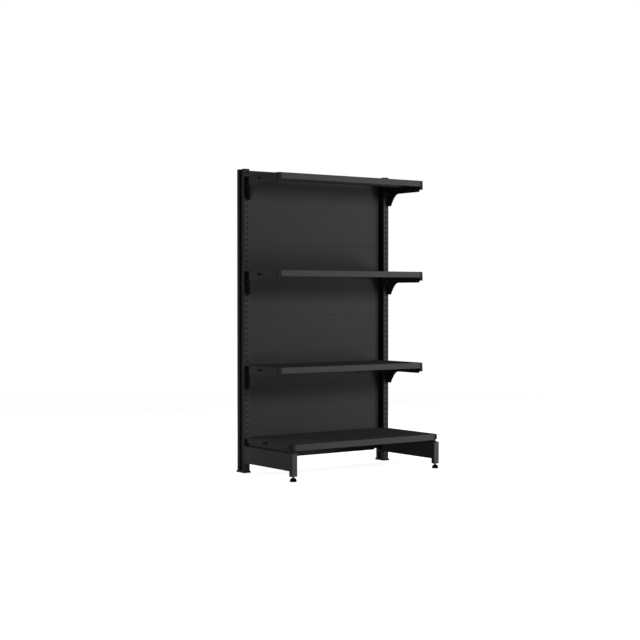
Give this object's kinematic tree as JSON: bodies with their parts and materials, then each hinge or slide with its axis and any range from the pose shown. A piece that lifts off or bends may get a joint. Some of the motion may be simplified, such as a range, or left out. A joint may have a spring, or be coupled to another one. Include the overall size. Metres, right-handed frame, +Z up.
{
  "type": "gondola shelving unit",
  "caption": "Single-sided retail shelving bay: slotted uprights, stacked back panels, hook-on shelves and a deeper base shelf on levelling feet.",
  "frame": {"origin": "middle of the footprint's bounding box, on the floor", "axes": "+X to the right as a shopper faces the bay, +Y to the rear, +Z up"},
  "size_m": [0.837, 0.4418, 1.368],
  "materials": {
    "upright_paint": "fine-textured black-grey powder coat",
    "panel_paint": "fine-textured black-grey powder coat",
    "leg_paint": "fine-textured black-grey powder coat",
    "shelf_paint": "fine-textured black-grey powder coat",
    "stiffener_paint": "fine-textured black-grey powder coat",
    "bracket_paint": "fine-textured black-grey powder coat",
    "black_plastic": "moulded, fine matt grain",
    "corner_plastic": "moulded, satin",
    "foot_plastic": "moulded, matt",
    "fastener_steel": "black-passivated steel"
  },
  "bodies": {
    "frame": {"upright_left_front_section": "upright_paint", "upright_left_rear_section": "upright_paint", "upright_left_core": "upright_paint", "upright_left_cap": "black_plastic", "upright_left_shoe": "black_plastic", "upright_right_front_section": "upright_paint", "upright_right_rear_section": "upright_paint", "upright_right_core": "upright_paint", "upright_right_cap": "black_plastic", "upright_right_shoe": "black_plastic", "panel_rest_left": "black_plastic", "panel_rest_right": "black_plastic", "back_panel_1": "panel_paint", "back_panel_2": "panel_paint", "back_panel_3": "panel_paint", "back_panel_4": "panel_paint", "base_leg_left": "leg_paint", "leg_nut_left": "fastener_steel", "base_leg_right": "leg_paint", "leg_nut_right": "fastener_steel", "base_buffer_left": "black_plastic", "base_buffer_right": "black_plastic"},
    "lower_brackets": {"lower_bracket_left": "bracket_paint", "lower_bracket_right": "bracket_paint"},
    "lower_shelf_unit": {"lower_shelf": "shelf_paint", "lower_shelf_stiffener": "stiffener_paint", "lower_shelf_cap_left": "corner_plastic", "lower_shelf_cap_right": "corner_plastic"},
    "middle_brackets": {"middle_bracket_left": "bracket_paint", "middle_bracket_right": "bracket_paint"},
    "middle_shelf_unit": {"middle_shelf": "shelf_paint", "middle_shelf_stiffener": "stiffener_paint", "middle_shelf_cap_left": "corner_plastic", "middle_shelf_cap_right": "corner_plastic"},
    "top_brackets": {"top_bracket_left": "bracket_paint", "top_bracket_right": "bracket_paint"},
    "top_shelf_unit": {"top_shelf": "shelf_paint", "top_shelf_stiffener": "stiffener_paint", "top_shelf_cap_left": "corner_plastic", "top_shelf_cap_right": "corner_plastic"},
    "base_shelf_unit": {"base_shelf": "shelf_paint", "base_shelf_stiffener": "stiffener_paint", "base_cap_left": "corner_plastic", "base_cap_right": "corner_plastic"},
    "left_leveller_pad": {"leveller_pad_left": "foot_plastic"},
    "left_leveller_stem": {"leveller_stem_left": "fastener_steel"},
    "right_leveller_pad": {"leveller_pad_right": "foot_plastic"},
    "right_leveller_stem": {"leveller_stem_right": "fastener_steel"}
  },
  "joints": [
    {"name": "lower_brackets_lift", "type": "slide", "parent": "frame", "child": "lower_brackets", "axis": [0, 0, 1], "range_m": [0, 0.0065]},
    {"name": "lower_shelf_lift", "type": "slide", "parent": "lower_brackets", "child": "lower_shelf_unit", "axis": [0, 0, 1], "range_m": [0, 0.06]},
    {"name": "middle_brackets_lift", "type": "slide", "parent": "frame", "child": "middle_brackets", "axis": [0, 0, 1], "range_m": [0, 0.0065]},
    {"name": "middle_shelf_lift", "type": "slide", "parent": "middle_brackets", "child": "middle_shelf_unit", "axis": [0, 0, 1], "range_m": [0, 0.06]},
    {"name": "top_brackets_lift", "type": "slide", "parent": "frame", "child": "top_brackets", "axis": [0, 0, 1], "range_m": [0, 0.0065]},
    {"name": "top_shelf_lift", "type": "slide", "parent": "top_brackets", "child": "top_shelf_unit", "axis": [0, 0, 1], "range_m": [0, 0.06]},
    {"name": "base_shelf_lift", "type": "slide", "parent": "frame", "child": "base_shelf_unit", "axis": [0, 0, 1], "range_m": [0, 0.06]},
    {"name": "left_leveller_height", "type": "slide", "parent": "frame", "child": "left_leveller_pad", "axis": [0, 0, 1], "range_m": [-0.012, 0.004]},
    {"name": "left_leveller_turn", "type": "hinge", "parent": "left_leveller_pad", "child": "left_leveller_stem", "pos_m": [-0.4, -0.20613, 0.03], "axis": [0, 0, 1], "range_deg": [-3060, 1140]},
    {"name": "right_leveller_height", "type": "slide", "parent": "frame", "child": "right_leveller_pad", "axis": [0, 0, 1], "range_m": [-0.012, 0.004]},
    {"name": "right_leveller_turn", "type": "hinge", "parent": "right_leveller_pad", "child": "right_leveller_stem", "pos_m": [0.4, -0.20613, 0.03], "axis": [0, 0, 1], "range_deg": [-3060, 1140]}
  ],
  "couplings": [
    {"joint": "left_leveller_turn", "follows": "left_leveller_height", "rad_per_m": 4188.8},
    {"joint": "right_leveller_turn", "follows": "right_leveller_height", "rad_per_m": 4188.8}
  ]
}
